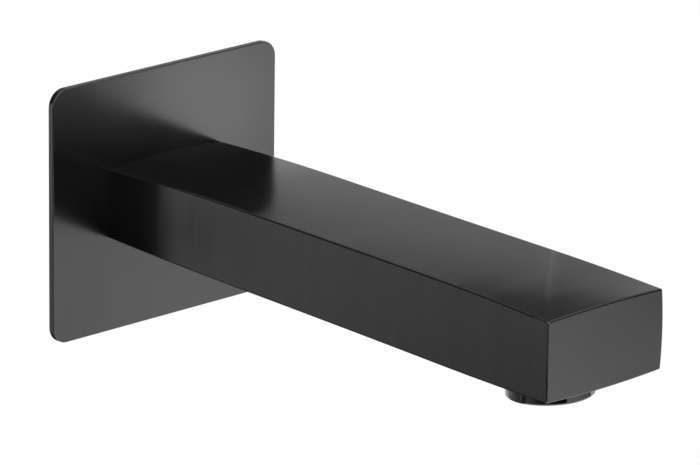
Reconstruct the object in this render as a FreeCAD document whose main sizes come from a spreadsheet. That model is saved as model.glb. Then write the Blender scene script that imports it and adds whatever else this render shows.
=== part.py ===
import FreeCAD, Part
import Sketcher
import math
import os
import re

# A square wall-mounted bath spout. The finished wall is the plane Y = 0, the spout stands out
# along -Y, +X is to its right and +Z is up. The inlet pipe's axis is the Y axis.
# "Along" means the distance out from the finished wall.

V = FreeCAD.Vector
doc = FreeCAD.newDocument("bath_spout")
sheet = doc.addObject("Spreadsheet::Sheet", "Dims")

DRIVING_SIZES = {
    # Cover plate, cut from sheet and buffed
    "plate_width": 82.5,
    "plate_height": 74.3,
    "plate_thickness": 1.8,
    "plate_corner": 5.0,
    "plate_edge_break": 0.3,
    "plate_lowering": 0.78,
    # Foam seal stuck to the back of the plate
    "foam_thickness": 1.5,
    "foam_inset": 3.0,
    # Outside of the cast body
    "reach": 180.5,
    "root_width": 41.7,
    "waist_width": 40.8,
    "front_width": 42.8,
    "waist_setback": 90.0,
    "root_height": 22.76,
    "front_height": 24.28,
    "face_crown": 0.1,
    "front_fall_length": 45.0,
    "front_top_fall": 0.26,
    "front_top_crown": 0.64,
    "front_under_fall": 0.43,
    "front_under_crown": 0.3,
    "front_side_crown": 0.25,
    "root_fall_length": 52.0,
    "root_top_fall": 0.63,
    "root_top_crown": 0.9,
    "root_under_fall": 0.38,
    "root_under_crown": 0.35,
    "end_arc_upright": 260.0,
    "end_arc_level": 560.0,
    "edge_round": 0.55,
    # Inside of the cast body
    "waterway_width": 28.0,
    "waterway_height": 16.2,
    "waterway_corner": 4.0,
    "front_wall": 5.5,
    "socket_length": 29.0,
    "socket_chamfer": 0.8,
    # Inlet nipple, turned from brass bar
    "pipe_thread_diameter": 20.955,
    "pipe_thread_length": 12.0,
    "pipe_relief_length": 2.6,
    "pipe_relief_depth": 1.9,
    "pipe_thread_chamfer": 0.9,
    "collar_diameter": 21.8,
    "collar_thickness": 2.5,
    "spigot_diameter": 16.0,
    "spigot_length": 27.7,
    "spigot_fit": 0.1,
    "nipple_front_bore": 10.8,
    "nipple_tail_bore": 8.8,
    "nipple_key_flats": 9.0,
    "nipple_key_along": 1.0,
    "nipple_key_depth": 8.0,
    "seal_cord": 1.5,
    "seal_groove_width": 1.9,
    "front_seal_along": 25.0,
    "rear_seal_along": 20.0,
    "loose_fit": 0.4,
    # Fixing screw under the root of the body
    "screw_along": 11.0,
    "screw_diameter": 5.0,
    "screw_recess": 0.5,
    "screw_tip_flat": 2.4,
    "screw_key_flats": 2.5,
    "screw_key_depth": 1.6,
    "screw_seat_depth": 0.9,
    "screw_fit": 0.05,
    # Outlet and the aerator that screws into it
    "outlet_setback": 20.5,
    "outlet_tilt": 5.0,
    "lip_drop": 6.57,
    "outlet_pad_length": 33.0,
    "outlet_pad_corner": 2.5,
    "rim_diameter": 24.1,
    "rim_length": 8.6,
    "rim_chamfer": 0.5,
    "rim_fit": 0.25,
    "lip_thickness": 1.6,
    "lip_opening": 18.0,
    "outlet_thread_diameter": 23.9,
    "outlet_thread_length": 7.2,
    "outlet_thread_fit": 0.08,
    "shell_bore": 20.6,
    "washer_thickness": 1.6,
    "washer_hole": 17.2,
    "washer_fit": 0.3,
    "seat_wall": 1.6,
    # Insert that sits inside the aerator shell
    "insert_diameter": 20.2,
    "insert_flange_diameter": 22.6,
    "insert_flange_thickness": 0.8,
    "insert_wall": 1.1,
    "insert_foot_thickness": 0.8,
    "insert_foot_width": 0.7,
    "insert_fit": 0.05,
    "grid_thickness": 2.5,
    "grid_cell": 1.9,
    "grid_web": 0.45,
    "screen_thickness": 0.4,
    "screen_pitch": 2.1,
    "screen_wire": 0.6,
    "spacer_height": 1.2,
    "spacer_wall": 0.9,
    "jet_plate_thickness": 1.6,
    "jet_plate_along": 9.6,
    "jet_count": 14.0,
    "jet_diameter": 1.3,
    "jet_ring_diameter": 12.6,
    "jet_boss_diameter": 6.0,
    "jet_boss_height": 1.2,
    "strainer_thickness": 0.8,
    "strainer_diameter": 16.6,
}


def fill_sheet():
    """Put each driving size in a cell of its own, under its own name."""
    for row, (name, size) in enumerate(DRIVING_SIZES.items(), start=1):
        cell = "A%d" % row
        sheet.set(cell, str(size))
        sheet.setAlias(cell, name)
    doc.recompute()


def spell(formula):
    """Write a formula's plain size names as names in the sheet."""
    def full_name(match):
        word = match.group()
        return "Dims." + word if word in DRIVING_SIZES else word
    return re.sub("[a-z_]+", full_name, formula)


def size_of(formula):
    """The present value of a formula in the sheet's names."""
    return float(sheet.evalExpression(spell(formula)))


def bind(thing, setting, formula):
    """Tie one setting of an object to a formula in the sheet's names."""
    thing.setExpression(setting, spell(formula))


def new_body(name):
    body = doc.addObject("PartDesign::Body", name)
    body.Label = name
    return body


def new_sketch(body, name, plane, shift=None, turn="0"):
    """A sketch on one of its body's origin planes, moved and turned within that plane."""
    support = next(item for item in body.Origin.OriginFeatures if item.Role == plane)
    sketch = body.newObject("Sketcher::SketchObject", name)
    sketch.AttachmentSupport = [(support, "")]
    sketch.MapMode = "FlatFace"
    angle = size_of(turn)
    sketch.AttachmentOffset = FreeCAD.Placement(V(0, 0, 0), FreeCAD.Rotation(V(0, 0, 1), angle))
    for axis, formula in (shift or {}).items():
        bind(sketch, "AttachmentOffset.Base." + axis, formula)
    if angle:
        bind(sketch, "AttachmentOffset.Rotation.Angle", turn)
    return sketch


def measure(sketch, kind, formula, *ends):
    """Add one dimension to a sketch and tie it to the sheet."""
    number = sketch.addConstraint(Sketcher.Constraint(kind, *ends, size_of(formula)))
    bind(sketch, "Constraints[%d]" % number, formula)


def place_corner(sketch, edge, end, across, up):
    """Fix one end of an edge by its distances from the sketch's origin."""
    for kind, formula, axis in (("DistanceX", across, -2), ("DistanceY", up, -1)):
        if formula == "0":
            sketch.addConstraint(Sketcher.Constraint("PointOnObject", edge, end, axis))
        else:
            measure(sketch, kind, formula, -1, 1, edge, end)


def draw_outline(sketch, corners):
    """A closed outline of straight edges through the given corners."""
    first = sketch.GeometryCount
    count = len(corners)
    spots = [V(size_of(across), size_of(up), 0) for across, up in corners]
    for here, there in zip(spots, spots[1:] + spots[:1]):
        sketch.addGeometry(Part.LineSegment(here, there), False)
    for step in range(count):
        after = first + (step + 1) % count
        sketch.addConstraint(Sketcher.Constraint("Coincident", first + step, 2, after, 1))
    for step, (across, up) in enumerate(corners):
        place_corner(sketch, first + step, 1, across, up)


def draw_rounded_rectangle(sketch, width, height, radius, centre_up="0"):
    """A rectangle with round corners, centred on the sketch's upright axis."""
    half_width = size_of(width) / 2
    half_height = size_of(height) / 2
    corner = size_of(radius)
    middle = size_of(centre_up)
    quarter = math.pi / 2
    for turn, (side, level) in enumerate(((1, 1), (-1, 1), (-1, -1), (1, -1))):
        centre = V(side * (half_width - corner), middle + level * (half_height - corner), 0)
        circle = Part.Circle(centre, V(0, 0, 1), corner)
        sketch.addGeometry(Part.ArcOfCircle(circle, turn * quarter, (turn + 1) * quarter), False)
    arcs = [sketch.Geometry[number] for number in range(4)]
    for turn in range(4):
        start = arcs[turn].EndPoint
        finish = arcs[(turn + 1) % 4].StartPoint
        sketch.addGeometry(Part.LineSegment(start, finish), False)
    for turn in range(4):
        line = 4 + turn
        sketch.addConstraint(Sketcher.Constraint("Tangent", turn, 2, line, 1))
        sketch.addConstraint(Sketcher.Constraint("Tangent", line, 2, (turn + 1) % 4, 1))
    for line in (4, 6):
        sketch.addConstraint(Sketcher.Constraint("Horizontal", line))
    for line in (5, 7):
        sketch.addConstraint(Sketcher.Constraint("Vertical", line))
    for turn in (1, 2, 3):
        sketch.addConstraint(Sketcher.Constraint("Equal", 0, turn))
    measure(sketch, "Radius", radius, 0)
    measure(sketch, "DistanceY", "%s + ( %s ) / 2" % (centre_up, height), -1, 1, 4, 1)
    measure(sketch, "DistanceY", "%s - ( %s ) / 2" % (centre_up, height), -1, 1, 6, 1)
    measure(sketch, "DistanceX", "0 - ( %s ) / 2" % width, -1, 1, 5, 1)
    measure(sketch, "DistanceX", "( %s ) / 2" % width, -1, 1, 7, 1)


def draw_circle(sketch, diameter, centre_up="0", centre_across="0"):
    centre = V(size_of(centre_across), size_of(centre_up), 0)
    number = sketch.addGeometry(Part.Circle(centre, V(0, 0, 1), size_of(diameter) / 2), False)
    measure(sketch, "Diameter", diameter, number)
    place_corner(sketch, number, 3, centre_across, centre_up)


def draw_hexagon(sketch, flats):
    """A hexagon about the sketch's origin, with two corners on its level axis."""
    corner = "( %s ) / ( 2 * cos(30) )" % flats
    half = "( %s ) / 2" % flats
    inner = "( %s ) / ( 4 * cos(30) )" % flats
    draw_outline(sketch, [
        (corner, "0"), (inner, half), ("0 - " + inner, half),
        ("0 - " + corner, "0"), ("0 - " + inner, "0 - " + half), (inner, "0 - " + half),
    ])


def pad(body, sketch, name, length):
    feature = body.newObject("PartDesign::Pad", name)
    feature.Profile = sketch
    bind(feature, "Length", length)
    return feature


def pocket(body, sketch, name, length, backwards=False):
    feature = body.newObject("PartDesign::Pocket", name)
    feature.Profile = sketch
    feature.Reversed = backwards
    bind(feature, "Length", length)
    return feature


def turn_profile(body, sketch, name, axis, cut=False, angle=360, both_ways=False):
    """Revolve a sketch about one of its axes, as added or removed material."""
    kind = "PartDesign::Groove" if cut else "PartDesign::Revolution"
    feature = body.newObject(kind, name)
    feature.Profile = sketch
    feature.ReferenceAxis = (sketch, [axis])
    feature.Angle = angle
    feature.Midplane = both_ways
    return feature


def check_cut(feature, base):
    """A cut that points away from the solid takes nothing off, so its volume is compared."""
    doc.recompute()
    if not feature.Shape.Volume < base.Shape.Volume - 0.001:
        raise RuntimeError(feature.Name + " removes nothing")


def tilt_to_outlet(body):
    """Stand a piece on the outlet's own axis, which leans so that the stream falls forward."""
    body.Placement = FreeCAD.Placement(V(0, 0, 0), FreeCAD.Rotation(V(-1, 0, 0), size_of("outlet_tilt")))
    bind(body, "Placement.Base.y", "outlet_setback - reach")
    bind(body, "Placement.Base.z", LIP_LEVEL)
    bind(body, "Placement.Rotation.Angle", "outlet_tilt")


# Cover plate: a rounded square of sheet, with one round hole that slips over the nipple's
# spigot. The body's root covers the hole and clamps the plate to the wall.

PLATE_HOLE = "spigot_diameter + 2 * loose_fit"
FOAM_HOLE = "collar_diameter + 2 * loose_fit"
PLATE_FRONT = "( foam_thickness + plate_thickness )"


def make_wall_plate():
    body = new_body("wall_plate")
    outline = new_sketch(body, "plate_outline", "XZ_Plane", {"z": "foam_thickness"})
    draw_rounded_rectangle(outline, "plate_width", "plate_height", "plate_corner", "0 - plate_lowering")
    draw_circle(outline, PLATE_HOLE)
    sheet_metal = pad(body, outline, "plate_sheet", "plate_thickness")
    doc.recompute()
    front = -size_of(PLATE_FRONT)
    rim = []
    for number, edge in enumerate(sheet_metal.Shape.Edges, start=1):
        box = edge.BoundBox
        on_front = abs(box.YMin - front) < 0.01 and abs(box.YMax - front) < 0.01
        if on_front and edge.CenterOfMass.Length > size_of("plate_height") / 3:
            rim.append("Edge%d" % number)
    soft_edge = body.newObject("PartDesign::Fillet", "plate_soft_edge")
    soft_edge.Base = (sheet_metal, rim)
    bind(soft_edge, "Radius", "plate_edge_break")
    return body


# Foam seal: closed-cell foam on the back of the plate, held back from its edge so that it
# doesn't show. It fills the uneven gap to the tiles.

def make_foam_seal():
    body = new_body("foam_seal")
    outline = new_sketch(body, "foam_outline", "XZ_Plane")
    draw_rounded_rectangle(
        outline, "plate_width - 2 * foam_inset", "plate_height - 2 * foam_inset",
        "plate_corner - foam_inset / 2", "0 - plate_lowering")
    draw_circle(outline, FOAM_HOLE)
    pad(body, outline, "foam_sheet", "foam_thickness")
    return body


# Spout body: one brass casting. Its four long faces are nearly flat for most of their length
# and fall away to the corners at both ends, where the buffing wheel turns over the edge.

LIP_LEVEL = "( 0 - front_height / 2 - lip_drop )"


def body_section(body, name, along, nearness_front, nearness_root):
    """One cross-section of the body: four shallow arcs that meet in sharp corners."""
    share = "( %s ) / reach" % along
    half_height = "( root_height + ( front_height - root_height ) * %s ) / 2" % share
    front = "( %s ) * ( %s )" % (nearness_front, nearness_front)
    root = "( %s ) * ( %s )" % (nearness_root, nearness_root)
    crown = "( face_crown + front_%s_crown * %s + root_%s_crown * %s )"
    top_crown = crown % ("top", front, "top", root)
    under_crown = crown % ("under", front, "under", root)
    side_crown = "( face_crown + front_side_crown * %s )" % front
    level = "( %s - front_%s_fall * %s - root_%s_fall * %s - %s )"
    top = level % (half_height, "top", front, "top", root, top_crown)
    under = level % (half_height, "under", front, "under", root, under_crown)
    across = "( %s / 2 - %s )" % (body_width(along), side_crown)
    sketch = new_sketch(body, name, "XZ_Plane", {"z": along})
    draw_crowned_rectangle(sketch, across, top, under, (top_crown, side_crown, under_crown))
    return sketch


def body_width(along):
    """The width over the side faces, which are very slightly hollow from end to end."""
    waist = "( reach - waist_setback )"
    if size_of(along) < size_of(waist):
        share = "( ( %s - ( %s ) ) / ( %s - %s ) )" % (waist, along, waist, PLATE_FRONT)
        end = "root_width"
    else:
        share = "( ( ( %s ) - %s ) / waist_setback )" % (along, waist)
        end = "front_width"
    return "( waist_width + ( %s - waist_width ) * %s * %s )" % (end, share, share)


def draw_crowned_rectangle(sketch, across, top, under, crowns):
    """A rectangle whose four sides bulge by their own crowns, in shallow arcs."""
    wide = size_of(across)
    high = size_of(top)
    low = -size_of(under)
    swell_up, swell_out, swell_down = (size_of(crown) for crown in crowns)
    middle = (high + low) / 2
    corners = [V(wide, high, 0), V(-wide, high, 0), V(-wide, low, 0), V(wide, low, 0)]
    middles = [V(0, high + swell_up, 0), V(-wide - swell_out, middle, 0),
               V(0, low - swell_down, 0), V(wide + swell_out, middle, 0)]
    for step in range(4):
        arc = Part.Arc(corners[step], middles[step], corners[(step + 1) % 4])
        sketch.addGeometry(arc, False)
    for step in range(4):
        sketch.addConstraint(Sketcher.Constraint("Coincident", step, 2, (step + 1) % 4, 1))
    minus_across = "0 - " + across
    minus_under = "0 - " + under
    place_corner(sketch, 0, 1, across, top)
    place_corner(sketch, 1, 1, minus_across, top)
    place_corner(sketch, 2, 1, minus_across, minus_under)
    place_corner(sketch, 3, 1, across, minus_under)
    top_crown, side_crown, under_crown = crowns
    half_side = "( ( %s + %s ) / 2 )" % (top, under)
    for arc, half, crown in ((0, across, top_crown), (1, half_side, side_crown),
                             (2, across, under_crown), (3, half_side, side_crown)):
        radius = "( %s * %s + %s * %s ) / ( 2 * %s )" % (half, half, crown, crown, crown)
        measure(sketch, "Radius", radius, arc)


def body_stations():
    """Where the sections stand: closer together where the faces fall away to either end.

    Each is its place along and how near it is to the front and to the root, from 0 to 1.
    """
    stations = []
    for number in range(4):
        near = "( 1 - %d / 4 )" % number
        along = "( %s + root_fall_length * %d / 4 )" % (PLATE_FRONT, number)
        stations.append((along, "0", near))
    plain_start = "( %s + root_fall_length )" % PLATE_FRONT
    plain_end = "( reach - front_fall_length )"
    for number in range(4):
        along = "( %s + ( %s - %s ) * %d / 4 )" % (plain_start, plain_end, plain_start, number)
        stations.append((along, "0", "0"))
    for number in range(5):
        near = "( %d / 4 )" % number
        along = "( %s + front_fall_length * %d / 4 )" % (plain_end, number)
        stations.append((along, near, "0"))
    return stations


def make_outer_form(body):
    sections = []
    for number, (along, front, root) in enumerate(body_stations(), start=1):
        sections.append(body_section(body, "section_%02d" % number, along, front, root))
    doc.recompute()
    casting = body.newObject("PartDesign::AdditiveLoft", "casting")
    casting.Profile = sections[0]
    casting.Sections = sections[1:]
    doc.recompute()
    return casting


def round_front_face(body, casting):
    """The end face is a shallow barrel, curved more up and down than from side to side."""
    sketch = new_sketch(body, "end_face_arc", "YZ_Plane", {"x": "end_arc_level - reach"})
    high = size_of("front_height")
    radius = size_of("end_arc_upright")
    level = size_of("end_arc_level")
    dip = radius - math.sqrt(radius ** 2 - high ** 2)
    clear = -level - high
    arc = Part.Arc(V(-level + dip, high, 0), V(-level, 0, 0), V(-level + dip, -high, 0))
    sketch.addGeometry(arc, False)
    sketch.addGeometry(Part.LineSegment(V(-level + dip, -high, 0), V(clear, -high, 0)), False)
    sketch.addGeometry(Part.LineSegment(V(clear, -high, 0), V(clear, high, 0)), False)
    sketch.addGeometry(Part.LineSegment(V(clear, high, 0), V(-level + dip, high, 0)), False)
    for here, end, there, start in ((0, 2, 1, 1), (1, 2, 2, 1), (2, 2, 3, 1), (3, 2, 0, 1)):
        sketch.addConstraint(Sketcher.Constraint("Coincident", here, end, there, start))
    sketch.addConstraint(Sketcher.Constraint("PointOnObject", 0, 3, -1))
    measure(sketch, "DistanceX", "end_arc_upright - end_arc_level", -1, 1, 0, 3)
    measure(sketch, "Radius", "end_arc_upright", 0)
    place_corner(sketch, 2, 1, "0 - end_arc_level - front_height", "0 - front_height")
    place_corner(sketch, 2, 2, "0 - end_arc_level - front_height", "front_height")
    sketch.addConstraint(Sketcher.Constraint("Horizontal", 1))
    sketch.addConstraint(Sketcher.Constraint("Horizontal", 3))
    cut = turn_profile(body, sketch, "end_face", "V_Axis", cut=True, angle=8, both_ways=True)
    check_cut(cut, casting)
    return cut


def soften_edges(body, solid):
    """Break the outer edges with a small round, as buffing leaves it. The root stays square."""
    root = -size_of(PLATE_FRONT)
    names = []
    for number, edge in enumerate(solid.Shape.Edges, start=1):
        at_root = all(abs(corner.Point.y - root) < 1e-4 for corner in edge.Vertexes)
        if not at_root:
            names.append("Edge%d" % number)
    soft = body.newObject("PartDesign::Fillet", "buffed_edges")
    soft.Base = (solid, names)
    bind(soft, "Radius", "edge_round")
    doc.recompute()
    return soft


SOCKET_RADIUS = "( spigot_diameter / 2 + spigot_fit )"
SOCKET_END = "( %s + socket_length )" % PLATE_FRONT


def cut_socket(body, solid):
    """The smooth socket in the root that slides over the nipple's two seals."""
    sketch = new_sketch(body, "socket_profile", "YZ_Plane")
    mouth = "0 - ( %s )" % PLATE_FRONT
    draw_outline(sketch, [
        (mouth, "0"),
        (mouth, "%s + socket_chamfer" % SOCKET_RADIUS),
        ("%s - socket_chamfer" % mouth, SOCKET_RADIUS),
        ("0 - %s - waterway_corner" % SOCKET_END, SOCKET_RADIUS),
        ("0 - %s - waterway_corner" % SOCKET_END, "0"),
    ])
    socket = turn_profile(body, sketch, "socket", "H_Axis", cut=True)
    check_cut(socket, solid)
    return socket


SEAT_LEVEL = "( rim_length + outlet_thread_length + insert_flange_thickness + washer_thickness )"
PAD_START = "( reach - front_wall - outlet_pad_length )"
PAD_LEVEL = "( %s + ( %s + seat_wall ) * cos(outlet_tilt) )" % (LIP_LEVEL, SEAT_LEVEL)


def cut_waterway(body, solid):
    """The cored passage from the socket to the pad that carries the outlet."""
    sketch = new_sketch(body, "waterway_section", "XZ_Plane", {"z": SOCKET_END})
    draw_rounded_rectangle(sketch, "waterway_width", "waterway_height", "waterway_corner")
    waterway = pocket(body, sketch, "waterway", "%s - %s" % (PAD_START, SOCKET_END), backwards=True)
    check_cut(waterway, solid)
    return waterway


def cut_chamber(body, solid):
    """The shallower space above the pad, left thick enough to hold the outlet's thread."""
    sketch = new_sketch(body, "chamber_section", "XZ_Plane", {"z": PAD_START})
    height = "( waterway_height / 2 - %s )" % PAD_LEVEL
    middle = "( waterway_height / 2 + %s ) / 2" % PAD_LEVEL
    draw_rounded_rectangle(sketch, "waterway_width", height, "outlet_pad_corner", middle)
    chamber = pocket(body, sketch, "chamber", "outlet_pad_length", backwards=True)
    check_cut(chamber, solid)
    return chamber


def outlet_sketch(body, name):
    shift = {"x": "outlet_setback - reach", "y": LIP_LEVEL}
    return new_sketch(body, name, "YZ_Plane", shift, "0 - outlet_tilt")


def cut_outlet(body, solid):
    """The threaded outlet, its shallow recess for the rim and its seat for the washer."""
    sketch = outlet_sketch(body, "outlet_profile")
    recess = "( rim_diameter / 2 + rim_fit )"
    thread = "( outlet_thread_diameter / 2 + outlet_thread_fit )"
    draw_outline(sketch, [
        ("0", "0"),
        (recess, "0"),
        (recess, "rim_length"),
        (thread, "rim_length"),
        (thread, SEAT_LEVEL),
        ("washer_hole / 2", SEAT_LEVEL),
        ("washer_hole / 2", "%s + 2 * seat_wall" % SEAT_LEVEL),
        ("0", "%s + 2 * seat_wall" % SEAT_LEVEL),
    ])
    outlet = turn_profile(body, sketch, "outlet", "V_Axis", cut=True)
    check_cut(outlet, solid)
    return outlet


def cut_screw_hole(body, solid):
    sketch = new_sketch(body, "screw_hole_profile", "YZ_Plane", {"x": "0 - screw_along"})
    radius = "( screw_diameter / 2 + screw_fit )"
    draw_outline(sketch, [
        ("0", "0"), (radius, "0"), (radius, "0 - root_height"), ("0", "0 - root_height"),
    ])
    hole = turn_profile(body, sketch, "screw_hole", "V_Axis", cut=True)
    check_cut(hole, solid)
    return hole


def make_spout_body():
    body = new_body("spout_body")
    casting = make_outer_form(body)
    faced = round_front_face(body, casting)
    softened = soften_edges(body, faced)
    waterway = cut_waterway(body, softened)
    chamber = cut_chamber(body, waterway)
    outlet = cut_outlet(body, chamber)
    socket = cut_socket(body, outlet)
    cut_screw_hole(body, socket)
    return body


# Inlet nipple: screws into the elbow in the wall, is tightened with a hexagon key from the
# front, and carries the body on a spigot with two seals and a groove for the fixing screw.

COLLAR_FRONT = "( foam_thickness - loose_fit / 2 )"
COLLAR_BACK = "( %s - collar_thickness )" % COLLAR_FRONT
SPIGOT_END = "( %s + spigot_length )" % COLLAR_FRONT
SEAL_BED = "( spigot_diameter / 2 + spigot_fit - seal_cord )"


def seal_groove(along):
    """The four corners of one seal's groove, from the wall outward."""
    near = "0 - ( %s - seal_groove_width / 2 )" % along
    far = "0 - ( %s + seal_groove_width / 2 )" % along
    top = "spigot_diameter / 2"
    return [(near, top), (near, SEAL_BED), (far, SEAL_BED), (far, top)]


def make_inlet_nipple():
    body = new_body("inlet_nipple")
    sketch = new_sketch(body, "nipple_profile", "YZ_Plane")
    bore = "nipple_front_bore / 2"
    tail_bore = "nipple_tail_bore / 2"
    spigot = "spigot_diameter / 2"
    thread = "pipe_thread_diameter / 2"
    relief = "( pipe_thread_diameter / 2 - pipe_relief_depth )"
    tail = "( pipe_relief_length + pipe_thread_length - %s )" % COLLAR_BACK
    seat = "screw_seat_depth"
    profile = [
        ("0 - nipple_key_along", bore),
        ("0 - nipple_key_along", tail_bore),
        (tail, tail_bore),
        (tail, "%s - pipe_thread_chamfer" % thread),
        ("%s - pipe_thread_chamfer" % tail, thread),
        ("pipe_relief_length - %s" % COLLAR_BACK, thread),
        ("pipe_relief_length - %s" % COLLAR_BACK, relief),
        ("0 - %s" % COLLAR_BACK, relief),
        ("0 - %s" % COLLAR_BACK, "collar_diameter / 2"),
        ("0 - %s" % COLLAR_FRONT, "collar_diameter / 2"),
        ("0 - %s" % COLLAR_FRONT, spigot),
        ("0 - screw_along + screw_tip_flat / 2 + %s" % seat, spigot),
        ("0 - screw_along + screw_tip_flat / 2", "%s - %s" % (spigot, seat)),
        ("0 - screw_along - screw_tip_flat / 2", "%s - %s" % (spigot, seat)),
        ("0 - screw_along - screw_tip_flat / 2 - %s" % seat, spigot),
    ]
    profile += seal_groove("rear_seal_along")
    profile += seal_groove("front_seal_along")
    profile += [
        ("0 - %s + socket_chamfer" % SPIGOT_END, spigot),
        ("0 - %s" % SPIGOT_END, "%s - socket_chamfer" % spigot),
        ("0 - %s" % SPIGOT_END, bore),
    ]
    draw_outline(sketch, profile)
    turned = turn_profile(body, sketch, "nipple_turned", "H_Axis")
    doc.recompute()
    key = new_sketch(body, "nipple_key_section", "XZ_Plane", {"z": SPIGOT_END})
    draw_hexagon(key, "nipple_key_flats")
    reach_in = "%s - nipple_key_along + nipple_key_depth" % SPIGOT_END
    socket = pocket(body, key, "nipple_key", reach_in)
    check_cut(socket, turned)
    return body


def make_ring(name, along, cord, centre_radius):
    """A round-section sealing ring on the inlet axis."""
    body = new_body(name)
    sketch = new_sketch(body, name + "_section", "YZ_Plane")
    draw_circle(sketch, cord, centre_radius, "0 - ( %s )" % along)
    turn_profile(body, sketch, name + "_moulded", "H_Axis")
    return body


def make_nipple_seals():
    centre = "( %s + seal_cord / 2 )" % SEAL_BED
    make_ring("nipple_seal_rear", "rear_seal_along", "seal_cord", centre)
    make_ring("nipple_seal_front", "front_seal_along", "seal_cord", centre)
    thread_seal = "( pipe_relief_depth + ( collar_diameter - pipe_thread_diameter ) / 2 )"
    relief = "( pipe_thread_diameter / 2 - pipe_relief_depth )"
    make_ring("thread_seal", "%s - %s / 2" % (COLLAR_BACK, thread_seal), thread_seal,
              "( %s + %s / 2 )" % (relief, thread_seal))


# Fixing screw: a headless screw in the underside of the root. Its flat tip sits in the
# nipple's groove and keeps the body from sliding off.

def make_fixing_screw():
    body = new_body("fixing_screw")
    top = "( spigot_diameter / 2 - screw_seat_depth )"
    foot = "( root_height / 2 - root_under_fall - screw_recess )"
    radius = "screw_diameter / 2"
    tip = "screw_tip_flat / 2"
    sketch = new_sketch(body, "screw_profile", "YZ_Plane", {"x": "0 - screw_along"})
    shoulder = "( %s + ( screw_diameter - screw_tip_flat ) / 2 )" % top
    draw_outline(sketch, [
        ("0", "0 - %s" % foot),
        (radius, "0 - %s" % foot),
        (radius, "0 - %s" % shoulder),
        (tip, "0 - %s" % top),
        ("0", "0 - %s" % top),
    ])
    turned = turn_profile(body, sketch, "screw_turned", "V_Axis")
    doc.recompute()
    key = new_sketch(body, "screw_key_section", "XY_Plane", {"y": "0 - screw_along", "z": "0 - %s" % foot})
    draw_hexagon(key, "screw_key_flats")
    socket = pocket(body, key, "screw_key", "screw_key_depth", backwards=True)
    check_cut(socket, turned)
    return body


# Aerator shell: the turned ring that shows under the spout. Its upper half is threaded, and
# its lip turns in under the insert.

def turned_on_outlet(name, corners):
    """A piece turned about the outlet's axis, from heights above the lip."""
    body = new_body(name)
    sketch = new_sketch(body, name + "_profile", "YZ_Plane")
    draw_outline(sketch, corners)
    turn_profile(body, sketch, name + "_turned", "V_Axis")
    tilt_to_outlet(body)
    return body


SHELL_TOP = "( rim_length + outlet_thread_length )"


def make_aerator_shell():
    rim = "rim_diameter / 2"
    thread = "outlet_thread_diameter / 2"
    return turned_on_outlet("aerator_shell", [
        ("lip_opening / 2 + rim_chamfer", "0"),
        ("%s - rim_chamfer" % rim, "0"),
        (rim, "rim_chamfer"),
        (rim, "rim_length - rim_chamfer"),
        ("%s - rim_chamfer" % rim, "rim_length - rim_chamfer"),
        ("%s - rim_chamfer" % rim, "rim_length"),
        (thread, "rim_length"),
        (thread, "%s - rim_chamfer" % SHELL_TOP),
        ("%s - rim_chamfer" % thread, SHELL_TOP),
        ("shell_bore / 2", SHELL_TOP),
        ("shell_bore / 2", "lip_thickness"),
        ("lip_opening / 2", "lip_thickness"),
        ("lip_opening / 2", "rim_chamfer"),
    ])


def make_aerator_washer():
    outer = "( outlet_thread_diameter / 2 - washer_fit )"
    low = "( %s + insert_flange_thickness )" % SHELL_TOP
    return turned_on_outlet("aerator_washer", [
        ("washer_hole / 2", low), (outer, low), (outer, SEAT_LEVEL), ("washer_hole / 2", SEAT_LEVEL),
    ])


# Insert: a moulded cage that hangs in the shell by its flange. From the top it holds the
# strainer, the jet plate, two wire screens with a spacer between them, and the outlet grid.

CAGE_BORE = "( insert_diameter / 2 - insert_wall )"
CAGE_FLOOR = "( lip_thickness + insert_foot_thickness )"
GRID_TOP = "( %s + grid_thickness )" % CAGE_FLOOR
LOWER_SCREEN_TOP = "( %s + screen_thickness )" % GRID_TOP
SPACER_TOP = "( %s + spacer_height )" % LOWER_SCREEN_TOP
CAGE_TOP = "( %s + insert_flange_thickness )" % SHELL_TOP
INNER_RADIUS = "( %s - insert_fit )" % CAGE_BORE


def make_insert_cage():
    foot = "( %s - insert_foot_width )" % CAGE_BORE
    outer = "insert_diameter / 2"
    ledge = "jet_plate_along"
    upper_bore = "( %s - insert_foot_width )" % CAGE_BORE
    return turned_on_outlet("insert_cage", [
        (foot, "lip_thickness"),
        (outer, "lip_thickness"),
        (outer, SHELL_TOP),
        ("insert_flange_diameter / 2", SHELL_TOP),
        ("insert_flange_diameter / 2", CAGE_TOP),
        (upper_bore, CAGE_TOP),
        (upper_bore, "%s + jet_plate_thickness" % ledge),
        (CAGE_BORE, "%s + jet_plate_thickness" % ledge),
        (CAGE_BORE, CAGE_FLOOR),
        (foot, CAGE_FLOOR),
    ])


def place_spots(radius, pitch, shifted):
    """Places of like holes inside a circle, in straight rows or in rows shifted by half."""
    rise = pitch * math.cos(math.radians(30)) if shifted else pitch
    rows = int(radius / rise) + 1
    columns = int(radius / pitch) + 1
    spots = []
    for row in range(-rows, rows + 1):
        shift = pitch / 2 if shifted and row % 2 else 0.0
        for column in range(-columns, columns + 1):
            spot = V(column * pitch + shift, row * rise, 0)
            if spot.Length <= radius:
                spots.append(spot)
    return spots


def polygon_prism(spot, corner_radius, sides, first_angle, low, high):
    """A straight prism with the given number of sides."""
    corners = []
    for number in range(sides + 1):
        angle = math.radians(first_angle + 360.0 * number / sides)
        corners.append(V(spot.x + corner_radius * math.cos(angle),
                         spot.y + corner_radius * math.sin(angle), low))
    face = Part.Face(Part.makePolygon(corners))
    return face.extrude(V(0, 0, high - low))


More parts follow.
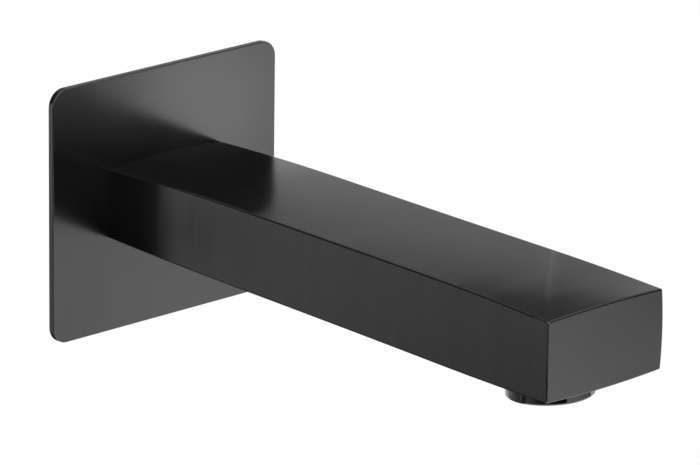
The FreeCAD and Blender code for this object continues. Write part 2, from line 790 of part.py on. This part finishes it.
def perforated_disc(name, radius, low, high, pitch, hole_radius, sides, first_angle, border):
    """A disc with a field of like holes that stops short of its rim."""
    disc = Part.makeCylinder(radius, high - low, V(0, 0, low))
    spots = place_spots(radius - border, pitch, shifted=(sides == 6))
    holes = [polygon_prism(spot, hole_radius, sides, first_angle, low - 1, high + 1) for spot in spots]
    piece = doc.addObject("Part::Feature", name)
    piece.Label = name
    piece.Shape = disc.cut(holes)
    tilt_to_outlet(piece)
    return piece


def make_stream_grid():
    """The honeycomb at the bottom, which straightens the stream."""
    cell = size_of("grid_cell")
    return perforated_disc(
        "stream_grid", size_of(INNER_RADIUS), size_of(CAGE_FLOOR), size_of(GRID_TOP),
        cell + size_of("grid_web"), cell / (2 * math.cos(math.radians(30))), 6, 30,
        size_of("insert_foot_width") + cell / 2)


def make_screen(name, low, high):
    """A disc of wire cloth, punched from a roll."""
    pitch = size_of("screen_pitch")
    gap = pitch - size_of("screen_wire")
    return perforated_disc(
        name, size_of(INNER_RADIUS), size_of(low), size_of(high),
        pitch, gap / math.sqrt(2), 4, 45, size_of("insert_foot_width") + gap / 2)


def make_screen_spacer():
    inner = "( %s - spacer_wall )" % INNER_RADIUS
    return turned_on_outlet("screen_spacer", [
        (inner, LOWER_SCREEN_TOP), (INNER_RADIUS, LOWER_SCREEN_TOP),
        (INNER_RADIUS, SPACER_TOP), (inner, SPACER_TOP),
    ])


def make_jet_plate():
    """The plate that splits the water into fine jets, with a low boss in the middle."""
    body = new_body("jet_plate")
    low = "jet_plate_along"
    top = "( jet_plate_along + jet_plate_thickness )"
    blank = new_sketch(body, "jet_plate_profile", "YZ_Plane")
    draw_outline(blank, [
        ("0", low), (INNER_RADIUS, low), (INNER_RADIUS, top), ("jet_boss_diameter / 2", top),
        ("0", "%s + jet_boss_height" % top),
    ])
    turned = turn_profile(body, blank, "jet_plate_turned", "V_Axis")
    doc.recompute()
    spot = new_sketch(body, "jet_hole_outline", "XY_Plane", {"z": top})
    draw_circle(spot, "jet_diameter", "0", "jet_ring_diameter / 2")
    hole = pocket(body, spot, "jet_hole", "2 * jet_plate_thickness")
    check_cut(hole, turned)
    ring = body.newObject("PartDesign::PolarPattern", "jet_ring")
    ring.Originals = [hole]
    ring.Axis = (spot, ["N_Axis"])
    ring.Angle = 360
    bind(ring, "Occurrences", "jet_count")
    body.Tip = ring
    doc.recompute()
    tilt_to_outlet(body)
    return body


def make_inlet_strainer():
    """The mesh that stops grit, seated inside the washer on top of the insert."""
    pitch = size_of("screen_pitch")
    gap = pitch - size_of("screen_wire")
    low = size_of(CAGE_TOP)
    return perforated_disc(
        "inlet_strainer", size_of("strainer_diameter / 2"), low, low + size_of("strainer_thickness"),
        pitch, gap / math.sqrt(2), 4, 45, size_of("insert_foot_width") + gap / 2)


def make_everything():
    fill_sheet()
    make_wall_plate()
    make_foam_seal()
    make_spout_body()
    make_inlet_nipple()
    make_nipple_seals()
    make_fixing_screw()
    make_aerator_shell()
    make_aerator_washer()
    make_insert_cage()
    make_stream_grid()
    make_screen("screen_lower", GRID_TOP, LOWER_SCREEN_TOP)
    make_screen_spacer()
    make_screen("screen_upper", SPACER_TOP, "( %s + screen_thickness )" % SPACER_TOP)
    make_jet_plate()
    make_inlet_strainer()
    doc.recompute()


def check_everything(pieces):
    """Stop if any object failed, or if a piece has no sound solid."""
    for item in doc.Objects:
        if "Invalid" in item.State or "Error" in item.State:
            raise RuntimeError(item.Name + " failed")
    for piece in pieces:
        if piece.Shape.isNull() or not piece.Shape.isValid():
            raise RuntimeError(piece.Label + " has no sound shape")


make_everything()
PIECES = [item for item in doc.Objects
          if item.TypeId in ("PartDesign::Body", "Part::Feature") and item.getParentGeoFeatureGroup() is None]
check_everything(PIECES)
os.makedirs("parts", exist_ok=True)
for piece in PIECES:
    piece.Shape.exportStep(os.path.join("parts", piece.Label + ".step"))
    print("%-20s %2d solid %10.1f mm3" % (piece.Label, len(piece.Shape.Solids), piece.Shape.Volume))
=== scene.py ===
import bmesh
import bpy
import math
from mathutils import Matrix, Vector


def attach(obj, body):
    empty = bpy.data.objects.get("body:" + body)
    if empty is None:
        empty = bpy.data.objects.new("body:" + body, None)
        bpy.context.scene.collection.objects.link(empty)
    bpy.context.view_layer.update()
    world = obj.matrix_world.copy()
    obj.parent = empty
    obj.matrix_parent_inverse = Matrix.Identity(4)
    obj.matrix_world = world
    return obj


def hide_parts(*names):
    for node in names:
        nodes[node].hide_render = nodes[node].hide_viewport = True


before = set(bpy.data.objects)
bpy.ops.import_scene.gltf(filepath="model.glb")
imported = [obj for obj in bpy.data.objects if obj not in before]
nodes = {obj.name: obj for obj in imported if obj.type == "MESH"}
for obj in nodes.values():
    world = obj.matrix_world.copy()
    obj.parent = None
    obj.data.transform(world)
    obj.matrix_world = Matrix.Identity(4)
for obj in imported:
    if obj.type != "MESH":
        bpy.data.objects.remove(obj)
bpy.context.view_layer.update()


# Cover plate
# A sheet-steel plate, cut, buffed with a fine mop and coated gunmetal black. The spout's root
# clamps it to the wall, so nothing on its face holds it.

COATING = (0.098, 0.099, 0.100)
LEAST_TINT = 0.9
MOST_TINT = 1.1
COATING_MARK_DEPTH = 0.000005
LINE_SCALE = 1.0
LINE_DETAIL = 3.0
PATCH_SCALE = 45.0
PATCH_DETAIL = 2.0
NOISE_MIDDLE = 0.5

# The mix node has one set of sockets for each type of data. These are the ones for colours.
MIX_FIRST = 6
MIX_SECOND = 7
MIX_RESULT = 2


def new_material(name):
    """A new material, its node tree and its main shader."""
    material = bpy.data.materials.new(name)
    material.use_nodes = True
    tree = material.node_tree
    return material, tree, tree.nodes["Principled BSDF"]


def add_node(tree, kind, **settings):
    """A new node of this kind, with its settings."""
    node = tree.nodes.new(kind)
    for name, value in settings.items():
        setattr(node, name, value)
    return node


def buffing_marks_group():
    """Fine parallel lines that a buffing mop leaves: how they tint, roughen and lift a surface.

    Stretch is how many lines there are to a metre along x, y and z. Broader patches change the
    roughness too, but not the tint.
    """
    group = bpy.data.node_groups.new("buffing marks", "ShaderNodeTree")
    face = group.interface
    face.new_socket("Stretch", in_out="INPUT", socket_type="NodeSocketVector")
    face.new_socket("Roughness", in_out="INPUT", socket_type="NodeSocketFloat")
    face.new_socket("Roughness spread", in_out="INPUT", socket_type="NodeSocketFloat")
    face.new_socket("Depth", in_out="INPUT", socket_type="NodeSocketFloat")
    face.new_socket("Roughness", in_out="OUTPUT", socket_type="NodeSocketFloat")
    face.new_socket("Normal", in_out="OUTPUT", socket_type="NodeSocketVector")
    face.new_socket("Streaks", in_out="OUTPUT", socket_type="NodeSocketFloat")
    inputs = group.nodes.new("NodeGroupInput")
    outputs = group.nodes.new("NodeGroupOutput")
    place = add_node(group, "ShaderNodeTexCoord")
    stretch = add_node(group, "ShaderNodeVectorMath", operation="MULTIPLY")
    lines = add_node(group, "ShaderNodeTexNoise", noise_dimensions="3D")
    lines.inputs["Scale"].default_value = LINE_SCALE
    lines.inputs["Detail"].default_value = LINE_DETAIL
    patches = add_node(group, "ShaderNodeTexNoise", noise_dimensions="3D")
    patches.inputs["Scale"].default_value = PATCH_SCALE
    patches.inputs["Detail"].default_value = PATCH_DETAIL
    both = add_node(group, "ShaderNodeMath", operation="ADD")
    centred = add_node(group, "ShaderNodeMath", operation="SUBTRACT")
    centred.inputs[1].default_value = 2 * NOISE_MIDDLE
    spread = add_node(group, "ShaderNodeMath", operation="MULTIPLY_ADD")
    bump = add_node(group, "ShaderNodeBump")
    bump.inputs["Strength"].default_value = 1.0
    link = group.links.new
    link(place.outputs["Object"], stretch.inputs[0])
    link(inputs.outputs["Stretch"], stretch.inputs[1])
    link(stretch.outputs[0], lines.inputs["Vector"])
    link(place.outputs["Object"], patches.inputs["Vector"])
    link(lines.outputs["Fac"], both.inputs[0])
    link(patches.outputs["Fac"], both.inputs[1])
    link(both.outputs[0], centred.inputs[0])
    link(centred.outputs[0], spread.inputs[0])
    link(inputs.outputs["Roughness spread"], spread.inputs[1])
    link(inputs.outputs["Roughness"], spread.inputs[2])
    link(inputs.outputs["Depth"], bump.inputs["Distance"])
    link(lines.outputs["Fac"], bump.inputs["Height"])
    link(spread.outputs[0], outputs.inputs["Roughness"])
    link(bump.outputs["Normal"], outputs.inputs["Normal"])
    link(lines.outputs["Fac"], outputs.inputs["Streaks"])
    return group


BUFFING_MARKS = buffing_marks_group()


def coated_metal(name, colour, stretch, roughness, spread, depth):
    """Gunmetal black coating over buffed metal, with its marks along one direction."""
    material, tree, shader = new_material(name)
    marks = add_node(tree, "ShaderNodeGroup", node_tree=BUFFING_MARKS)
    marks.inputs["Stretch"].default_value = stretch
    marks.inputs["Roughness"].default_value = roughness
    marks.inputs["Roughness spread"].default_value = spread
    marks.inputs["Depth"].default_value = depth
    tint = add_node(tree, "ShaderNodeMix", data_type="RGBA")
    tint.inputs[MIX_FIRST].default_value = (*[c * LEAST_TINT for c in colour], 1.0)
    tint.inputs[MIX_SECOND].default_value = (*[c * MOST_TINT for c in colour], 1.0)
    tree.links.new(marks.outputs["Streaks"], tint.inputs[0])
    tree.links.new(tint.outputs[MIX_RESULT], shader.inputs["Base Color"])
    tree.links.new(marks.outputs["Roughness"], shader.inputs["Roughness"])
    tree.links.new(marks.outputs["Normal"], shader.inputs["Normal"])
    shader.inputs["Metallic"].default_value = 1.0
    return material


def dress(node_name, material):
    """Give a carried-over piece its finished material."""
    piece = nodes[node_name]
    piece.data.materials.clear()
    piece.data.materials.append(material)


PLATE_STEEL = coated_metal("coated steel", COATING, stretch=(120.0, 120.0, 40.0), roughness=0.215,
                           spread=0.06, depth=COATING_MARK_DEPTH)
dress("wall_plate", PLATE_STEEL)


# Foam seal
# Closed-cell foam, die-cut and stuck to the plate's back, where it fills the joints of the
# tiles and keeps splashed water out of the wall.

FOAM_CELLS_PER_METRE = 2600.0
# Painted shade: the colour of the low grooves between the foam cells, darker than the foam itself.
FOAM_GROOVE_PAINTED_SHADE = (0.012, 0.012, 0.013, 1)
FOAM_CELL = (0.055, 0.055, 0.058, 1)
FOAM_CELL_FROM = 0.35
FOAM_DEPTH = 0.0001
FOAM_ROUGHNESS = 0.95
FOAM_SHINE = 0.25


def foam_material():
    """Dark foam with small round cells. The cells keep the foam's own colour, and the low grooves
    between them are painted darker as painted shade.
    """
    material, tree, shader = new_material("closed-cell foam")
    place = add_node(tree, "ShaderNodeTexCoord")
    cells = add_node(tree, "ShaderNodeTexVoronoi", feature="DISTANCE_TO_EDGE")
    cells.inputs["Scale"].default_value = FOAM_CELLS_PER_METRE
    # The ramp paints shade into the grooves between the cells. It is darkest where the bump is
    # lowest.
    ramp = add_node(tree, "ShaderNodeValToRGB")
    ramp.color_ramp.elements[0].color = FOAM_GROOVE_PAINTED_SHADE
    ramp.color_ramp.elements[1].color = FOAM_CELL
    ramp.color_ramp.elements[1].position = FOAM_CELL_FROM
    bump = add_node(tree, "ShaderNodeBump")
    bump.inputs["Distance"].default_value = FOAM_DEPTH
    link = tree.links.new
    link(place.outputs["Object"], cells.inputs["Vector"])
    link(cells.outputs["Distance"], ramp.inputs["Fac"])
    link(ramp.outputs["Color"], shader.inputs["Base Color"])
    link(cells.outputs["Distance"], bump.inputs["Height"])
    link(bump.outputs["Normal"], shader.inputs["Normal"])
    shader.inputs["Roughness"].default_value = FOAM_ROUGHNESS
    shader.inputs["Specular IOR Level"].default_value = FOAM_SHINE
    return material


dress("foam_seal", foam_material())


# Spout body
# One brass casting, linished on its four long faces and its end, then coated with the plate.
# The faces fall away to the corners at both ends, where the belt turns over the edge.

BODY_BRASS = coated_metal("coated brass", COATING, stretch=(30.0, 330.0, 30.0), roughness=0.18,
                          spread=0.06, depth=COATING_MARK_DEPTH)
dress("spout_body", BODY_BRASS)


# Inlet nipple
# Turned from brass bar. Its G 1/2 thread, 14 turns to the inch, is cut on the lathe and screws
# into the elbow in the wall.

TURNING_MARKS = (300.0, 3000.0, 300.0)
TURNING_SPREAD = 0.12
TURNING_DEPTH = 0.00002
INCH = 0.0254
THREAD_PITCH = INCH / 14
THREAD_TOP = 0.020955 / 2
THREAD_ROOT = 0.018631 / 2
THREAD_STEPS = 48

# One turn's outline: the share of the pitch along the axis, and the radius there.
THREAD_OUTLINE = (
    (0.0, THREAD_ROOT), (0.08, THREAD_ROOT), (0.42, THREAD_TOP), (0.58, THREAD_TOP),
    (0.92, THREAD_ROOT), (1.0, THREAD_ROOT))

# The plain nipple is cut down a little below the thread's root, and the thread's ends close just
# under that surface.
CORE_RADIUS = THREAD_ROOT - 0.0001
END_RADIUS = CORE_RADIUS - 0.00003
OUTSIDE_THE_BORE = 0.009
ON_THE_THREAD = 2e-5
AT_THE_TAIL = 1e-5
AT_THE_CUT = 1e-6
SAME_POINT = 1e-6
SAME_THREAD_POINT = 2e-6
ON_THE_PLANE = 1e-7


def plain_metal(name, colour, roughness):
    """Bare metal with the marks of the tool that turned it."""
    material, tree, shader = new_material(name)
    marks = add_node(tree, "ShaderNodeGroup", node_tree=BUFFING_MARKS)
    marks.inputs["Stretch"].default_value = TURNING_MARKS
    marks.inputs["Roughness"].default_value = roughness
    marks.inputs["Roughness spread"].default_value = TURNING_SPREAD
    marks.inputs["Depth"].default_value = TURNING_DEPTH
    tree.links.new(marks.outputs["Roughness"], shader.inputs["Roughness"])
    tree.links.new(marks.outputs["Normal"], shader.inputs["Normal"])
    shader.inputs["Base Color"].default_value = (*colour, 1.0)
    shader.inputs["Metallic"].default_value = 1.0
    return material


def distance_from_axis(point):
    return math.hypot(point.x, point.z)


def bring_to_radius(shape, vert, radius):
    """Move one point straight towards the nipple's axis, until it is this far from it."""
    share = radius / distance_from_axis(vert.co)
    bmesh.ops.scale(shape, vec=(share, 1, share), verts=[vert])


def sweep_thread(thread, start, tail):
    """Sweep one turn's outline along the helix, from a pitch before start to past the tail."""
    turns = math.ceil((tail - start) / THREAD_PITCH) + 1
    points = []
    for along, radius in THREAD_OUTLINE:
        points.append(thread.verts.new((radius, start + (along - 1.0) * THREAD_PITCH, 0)))
    edges = [thread.edges.new((points[i], points[i + 1])) for i in range(len(points) - 1)]
    bmesh.ops.spin(thread, geom=points + edges, cent=(0, 0, 0), axis=(0, 1, 0),
                   dvec=(0, THREAD_PITCH / THREAD_STEPS, 0), angle=math.tau * turns,
                   steps=THREAD_STEPS * turns, use_merge=False)
    bmesh.ops.remove_doubles(thread, verts=thread.verts, dist=SAME_THREAD_POINT)


def close_thread_end(thread, along, outward):
    """Cut the swept thread square at one end, and draw the cut edge in to close it."""
    everything = thread.verts[:] + thread.edges[:] + thread.faces[:]
    bmesh.ops.bisect_plane(thread, geom=everything, dist=ON_THE_PLANE, plane_co=(0, along, 0),
                           plane_no=(0, outward, 0), clear_outer=True)
    rim = [e for e in thread.edges if all(abs(v.co.y - along) < AT_THE_CUT for v in e.verts)]
    pulled = bmesh.ops.extrude_edge_only(thread, edges=rim)["geom"]
    for vert in [g for g in pulled if isinstance(g, bmesh.types.BMVert)]:
        bring_to_radius(thread, vert, END_RADIUS)


def face_outward(thread):
    """Turn the thread's faces so that, taken together, they look away from the axis."""
    bmesh.ops.recalc_face_normals(thread, faces=thread.faces)
    outward = 0.0
    for face in thread.faces:
        middle = face.calc_center_median()
        outward += face.normal.dot(Vector((middle.x, 0, middle.z)))
    if outward < 0:
        bmesh.ops.reverse_faces(thread, faces=thread.faces)


def make_threaded_nipple():
    """The nipple as the frame has it, with its plain inlet end cut down and a thread on it."""
    mesh = nodes["inlet_nipple"].data.copy()
    mesh.name = "threaded nipple"
    shape = bmesh.new()
    shape.from_mesh(mesh)
    bmesh.ops.remove_doubles(shape, verts=shape.verts, dist=SAME_POINT)
    on_thread = []
    for vert in shape.verts:
        if vert.co.y > 0 and abs(distance_from_axis(vert.co) - THREAD_TOP) < ON_THE_THREAD:
            on_thread.append(vert)
    start = min(v.co.y for v in on_thread)
    chamfer = max(v.co.y for v in on_thread)
    tail = max(v.co.y for v in shape.verts)
    on_tail = []
    for vert in shape.verts:
        if vert.co.y > tail - AT_THE_TAIL and distance_from_axis(vert.co) > OUTSIDE_THE_BORE:
            on_tail.append(vert)
    for vert in on_thread + on_tail:
        bring_to_radius(shape, vert, CORE_RADIUS)

    thread = bmesh.new()
    sweep_thread(thread, start, tail)
    close_thread_end(thread, start, -1)
    close_thread_end(thread, tail, 1)
    for vert in thread.verts:
        most = THREAD_TOP - max(0.0, vert.co.y - chamfer)
        if distance_from_axis(vert.co) > most:
            bring_to_radius(thread, vert, most)
    face_outward(thread)

    thread_mesh = bpy.data.meshes.new("thread")
    thread.to_mesh(thread_mesh)
    thread.free()
    shape.from_mesh(thread_mesh)
    shape.to_mesh(mesh)
    shape.free()
    mesh.materials.clear()
    mesh.materials.append(TURNED_BRASS)
    nipple = bpy.data.objects.new("threaded_nipple", mesh)
    bpy.context.scene.collection.objects.link(nipple)
    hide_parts("inlet_nipple")
    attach(nipple, "root")


TURNED_BRASS = plain_metal("turned brass", (0.78, 0.57, 0.30), roughness=0.22)
make_threaded_nipple()
dress("inlet_nipple", TURNED_BRASS)


# Nipple seals
# Three moulded rubber rings. Two sit in the nipple's grooves and seal it in the spout's socket.
# The third sits at the root of the inlet thread and seals it against the elbow.

GRAIN_SCALE = 4000.0
GRAIN_DETAIL = 3.0
GRAIN_DEPTH = 0.00002


def soft_material(name, colour, roughness):
    """Moulded rubber or plastic, with the fine grain of its mould."""
    material, tree, shader = new_material(name)
    place = add_node(tree, "ShaderNodeTexCoord")
    grain = add_node(tree, "ShaderNodeTexNoise")
    grain.inputs["Scale"].default_value = GRAIN_SCALE
    grain.inputs["Detail"].default_value = GRAIN_DETAIL
    bump = add_node(tree, "ShaderNodeBump")
    bump.inputs["Distance"].default_value = GRAIN_DEPTH
    tree.links.new(place.outputs["Object"], grain.inputs["Vector"])
    tree.links.new(grain.outputs["Fac"], bump.inputs["Height"])
    tree.links.new(bump.outputs["Normal"], shader.inputs["Normal"])
    shader.inputs["Base Color"].default_value = (*colour, 1.0)
    shader.inputs["Roughness"].default_value = roughness
    return material


RUBBER = soft_material("seal rubber", (0.018, 0.018, 0.019), roughness=0.55)
for seal in ("nipple_seal_rear", "nipple_seal_front", "thread_seal"):
    dress(seal, RUBBER)


# Fixing screw
# A headless stainless screw in a threaded hole under the spout's root. Its tip presses on the
# nipple and locks the spout to it.

STAINLESS = plain_metal("stainless steel", (0.60, 0.59, 0.57), roughness=0.28)
dress("fixing_screw", STAINLESS)


# Aerator shell
# A ring turned from brass, polished and coated gunmetal black. It screws into the outlet and
# carries the insert and the washer.

RIM_BLACK = (0.085, 0.086, 0.087)
RIM_COATING = coated_metal("coated rim", RIM_BLACK, stretch=(60.0, 60.0, 2500.0), roughness=0.09,
                           spread=0.03, depth=0.000001)
dress("aerator_shell", RIM_COATING)


# Aerator insert
# A moulded acetal cage that drops into the shell, with a honeycomb at its bottom, two stainless
# screens with a ring between them, a plate that splits the flow and a strainer on top.

ACETAL = soft_material("moulded acetal", (0.55, 0.56, 0.56), roughness=0.4)
for part in ("insert_cage", "stream_grid", "screen_spacer", "jet_plate"):
    dress(part, ACETAL)
for part in ("screen_lower", "screen_upper", "inlet_strainer"):
    dress(part, STAINLESS)


# Aerator washer
# A flat rubber ring on top of the insert. Screwing the shell in presses it against the seat in
# the outlet.

dress("aerator_washer", RUBBER)


# Studio
# A white floor well below the spout, so that it can be seen from below, and a plain white world.
# Around the spout stand graded cards that only its reflections show: on a dark shiny coat, what
# is reflected makes the whole look. A card's place, size and brightness are in metres and in
# shares of white.

FLOOR_DROP = 3.5
FLOOR_SIZE = 24.0
FLOOR_PAINT = 0.82
WHITE = (1, 1, 1, 1)
WORLD_STRENGTH = 1.0


def make_floor():
    """White paint that keeps a shadow, with a little glow in sight that lifts it to full white."""
    mesh = bpy.data.meshes.new("floor")
    shape = bmesh.new()
    bmesh.ops.create_grid(shape, x_segments=1, y_segments=1, size=FLOOR_SIZE / 2)
    bmesh.ops.translate(shape, vec=(0, 0, -FLOOR_DROP), verts=shape.verts)
    shape.to_mesh(mesh)
    shape.free()
    floor = bpy.data.objects.new("floor", mesh)
    bpy.context.scene.collection.objects.link(floor)
    material, tree, shader = new_material("white floor")
    tree.nodes.remove(shader)
    out = tree.nodes["Material Output"]
    paint = add_node(tree, "ShaderNodeBsdfDiffuse")
    paint.inputs["Color"].default_value = (FLOOR_PAINT, FLOOR_PAINT, FLOOR_PAINT, 1)
    glow = add_node(tree, "ShaderNodeEmission")
    path = add_node(tree, "ShaderNodeLightPath")
    mirrored = add_node(tree, "ShaderNodeMath", operation="MAXIMUM")
    seen = add_node(tree, "ShaderNodeMath", operation="MAXIMUM")
    lift = add_node(tree, "ShaderNodeMath", operation="MULTIPLY")
    lift.inputs[1].default_value = 1.0 - FLOOR_PAINT
    both = add_node(tree, "ShaderNodeAddShader")
    link = tree.links.new
    link(path.outputs["Is Glossy Ray"], mirrored.inputs[0])
    link(path.outputs["Is Transmission Ray"], mirrored.inputs[1])
    link(path.outputs["Is Camera Ray"], seen.inputs[0])
    link(mirrored.outputs[0], seen.inputs[1])
    link(seen.outputs[0], lift.inputs[0])
    link(lift.outputs[0], glow.inputs["Strength"])
    link(paint.outputs[0], both.inputs[0])
    link(glow.outputs[0], both.inputs[1])
    link(both.outputs[0], out.inputs["Surface"])
    mesh.materials.append(material)


def make_world():
    world = bpy.data.worlds.new("studio")
    bpy.context.scene.world = world
    world.use_nodes = True
    background = world.node_tree.nodes["Background"]
    background.inputs["Color"].default_value = WHITE
    background.inputs["Strength"].default_value = WORLD_STRENGTH


def make_card(name, middle, facing, width, height, level, slope=(0, 0, 0), least=0.0, spots=()):
    """A graded card that only reflections show.

    level is its brightness at the middle, and slope is how that grows along x, y and z, per
    metre, down to least. Each soft spot on it has its place, its radius and what it adds.
    """
    middle = Vector(middle)
    mesh = bpy.data.meshes.new(name)
    shape = bmesh.new()
    bmesh.ops.create_grid(shape, x_segments=1, y_segments=1, size=1 / 2)
    bmesh.ops.scale(shape, vec=(width, height, 1), verts=shape.verts)
    turn = Vector(facing).to_track_quat("Z", "Y").to_matrix().to_4x4()
    bmesh.ops.transform(shape, matrix=Matrix.Translation(middle) @ turn, verts=shape.verts)
    shape.to_mesh(mesh)
    shape.free()
    card = bpy.data.objects.new(name, mesh)
    bpy.context.scene.collection.objects.link(card)
    card.visible_camera = False
    card.visible_diffuse = False
    card.visible_shadow = False
    material, tree, shader = new_material(name)
    tree.nodes.remove(shader)
    out = tree.nodes["Material Output"]
    light = add_node(tree, "ShaderNodeEmission")
    place = add_node(tree, "ShaderNodeTexCoord")
    along = add_node(tree, "ShaderNodeVectorMath", operation="DOT_PRODUCT")
    along.inputs[1].default_value = slope
    total = add_node(tree, "ShaderNodeMath", operation="ADD")
    total.inputs[1].default_value = level - middle.dot(Vector(slope))
    not_below = add_node(tree, "ShaderNodeMath", operation="MAXIMUM")
    not_below.inputs[1].default_value = least
    link = tree.links.new
    link(place.outputs["Object"], along.inputs[0])
    link(along.outputs["Value"], total.inputs[0])
    link(total.outputs[0], not_below.inputs[0])
    strength = not_below.outputs[0]
    for spot, radius, added in spots:
        reach = add_node(tree, "ShaderNodeVectorMath", operation="DISTANCE")
        reach.inputs[1].default_value = spot
        fade = add_node(tree, "ShaderNodeMapRange", interpolation_type="SMOOTHSTEP")
        fade.inputs["From Min"].default_value = 0.0
        fade.inputs["From Max"].default_value = radius
        fade.inputs["To Min"].default_value = added
        fade.inputs["To Max"].default_value = 0.0
        both = add_node(tree, "ShaderNodeMath", operation="ADD")
        link(place.outputs["Object"], reach.inputs[0])
        link(reach.outputs["Value"], fade.inputs["Value"])
        link(strength, both.inputs[0])
        link(fade.outputs["Result"], both.inputs[1])
        strength = both.outputs[0]
    link(strength, light.inputs["Strength"])
    link(light.outputs[0], out.inputs["Surface"])
    mesh.materials.append(material)


make_floor()
make_world()

TO_RIGHT_FRONT = Vector((0.643, -0.699, -0.312))
TO_LEFT_BACK = Vector((-0.643, 0.699, -0.312))
TO_LEFT_FRONT = Vector((-0.643, -0.699, -0.312))
TO_HIGH_FRONT = Vector((0.62, -0.72, 0.30))
FRONT_CARD_FACING = Vector((0.74, 0.59, 0.31))
BACK_CARDS_FACING = (-0.677, -0.736, 0)

plate_card_middle = Vector((0, -0.005, 0)) + 0.25 * TO_RIGHT_FRONT
make_card("plate card", plate_card_middle, -TO_RIGHT_FRONT, width=0.14, height=0.14, level=1.0,
          slope=(2.0, 1.8, -0.8), spots=(
              (plate_card_middle + Vector((0.001, -0.003, 0.034)), 0.04, 1.75),
              (plate_card_middle + Vector((-0.016, -0.026, 0.036)), 0.038, -1.0),
              (plate_card_middle + Vector((-0.0144, 0.0058, -0.0313)), 0.022, 0.3)))

end_card_middle = Vector((0, -0.18, 0)) + 0.25 * TO_RIGHT_FRONT
make_card("end card", end_card_middle, -TO_RIGHT_FRONT, width=0.2, height=0.2, level=0.84,
          slope=(-2.0, -2.0, -3.0), least=0.4)

side_card_middle = Vector((-0.021, -0.11, 0)) + 0.45 * TO_LEFT_BACK
make_card("side card", side_card_middle, -TO_LEFT_BACK, width=0.68, height=0.4, level=0.43,
          slope=(1.1, 1.0, 2.0), least=0.3, spots=(
              (side_card_middle + Vector((0.042, 0.048, 0.018)), 0.034, -0.45),))
make_card("upper side card", (-0.33, 0.25, 0.19), (0.65, -0.70, -0.25), width=1.0, height=0.32,
          level=0.1)

make_card("root card", (-0.115, -0.106, -0.046), -TO_LEFT_FRONT, width=0.08, height=0.05,
          level=0.18, slope=(-14.0, 13.0, 0), least=0.02, spots=(
              ((-0.101, -0.118, -0.036), 0.016, 2.2),))
make_card("edge card", (-0.09, -0.255, -0.022), -TO_LEFT_FRONT, width=0.14, height=0.034,
          level=0.3)

front_card_middle = Vector((-0.021, -0.06, 0)) + 0.6 * -FRONT_CARD_FACING
make_card("front card", front_card_middle, FRONT_CARD_FACING, width=1.4, height=0.45, level=0.03,
          slope=(-0.4, 0.6, 0), least=0.02)

high_card_middle = Vector((0, -0.03, 0.01)) + 0.35 * TO_HIGH_FRONT
make_card("high card", high_card_middle, -TO_HIGH_FRONT, width=0.3, height=0.2, level=0.17)
make_card("upper root card", (0.062, -0.0975, 0.027), (-0.643, 0.699, -0.1), width=0.062,
          height=0.03, level=0.75, slope=(-9.0, -8.3, 0), least=0.3)

make_card("back card", (2.03, 2.2, 2.385), BACK_CARDS_FACING, width=6.0, height=2.8, level=0.31,
          slope=(0, 0, 0.22))
make_card("horizon card", (2.03, 2.2, 0.49), BACK_CARDS_FACING, width=6.0, height=0.98, level=0.78)
make_card("left canopy", (-0.33, 0.6, 0.66), (0.312, -0.699, -0.643), width=0.9, height=0.8,
          level=0.12)
make_card("right canopy", (0.65, -0.49, 0.71), (-0.643, 0.312, -0.70), width=0.8, height=0.8,
          level=0.7)
make_card("low card", (-0.04, 0.2, -0.33), (0.05, -0.70, 0.71), width=1.0, height=0.28, level=0.08)


# Camera
# A long lens, to the left of the spout and above it, at the photograph's viewing angle.

CAMERA_PLACE = Vector((-1.02869, -1.19869, 0.50513))
CAMERA_LOOK = Vector((0.64329, 0.69919, -0.31195))
CAMERA_UP = Vector((0.20116, 0.23878, 0.95001))
CAMERA_LENS = 300.89
CAMERA_SENSOR_WIDTH = 36.0
CAMERA_SEES_FROM = 0.05
CAMERA_SEES_TO = 50.0

camera_data = bpy.data.cameras.new("camera")
camera_data.lens = CAMERA_LENS
camera_data.sensor_width = CAMERA_SENSOR_WIDTH
camera_data.clip_start = CAMERA_SEES_FROM
camera_data.clip_end = CAMERA_SEES_TO
camera = bpy.data.objects.new("camera", camera_data)
bpy.context.scene.collection.objects.link(camera)
back = -CAMERA_LOOK.normalized()
side = CAMERA_UP.cross(back).normalized()
up = back.cross(side)
turn = Matrix((side, up, back)).transposed().to_4x4()
camera.matrix_world = Matrix.Translation(CAMERA_PLACE) @ turn
bpy.context.scene.camera = camera

bpy.context.scene.view_settings.view_transform = "Standard"
